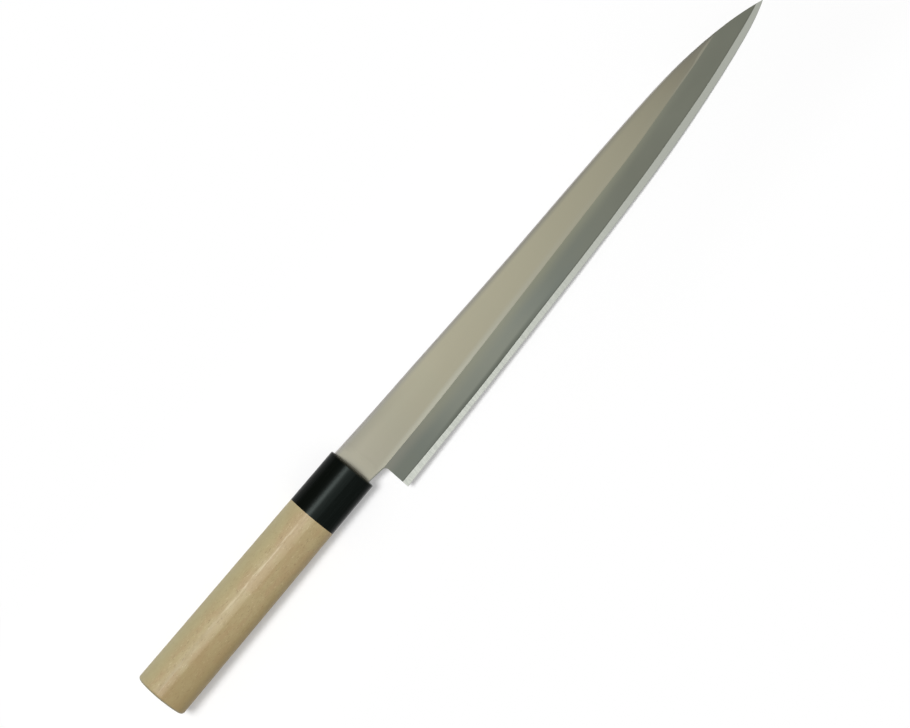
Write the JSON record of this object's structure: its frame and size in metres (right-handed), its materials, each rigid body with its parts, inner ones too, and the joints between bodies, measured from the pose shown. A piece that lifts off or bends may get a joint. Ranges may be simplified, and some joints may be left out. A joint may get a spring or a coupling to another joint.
{
  "type": "yanagiba knife",
  "caption": "Long single-bevel slicing knife with a clad steel blade, black ferrule and D-shaped pale wood handle.",
  "frame": {"origin": "middle of the ferrule's front face in height, on the handle's axis, in the plane of the blade's flat back", "axes": "+X along the handle's axis towards the tip, +Y towards the spine, +Z out of the bevelled side"},
  "size_m": [0.4158, 0.0374, 0.0215],
  "materials": {
    "cladding": "satin ground soft iron",
    "edge_steel": "fine stone polish",
    "ferrule": "polished black",
    "seal": "dark resin",
    "handle_wood": "bare sanded magnolia"
  },
  "bodies": {
    "root": {"blade_cladding": "cladding", "edge_steel": "edge_steel", "ferrule": "ferrule", "tang_seal": "seal", "handle": "handle_wood"}
  },
  "joints": []
}
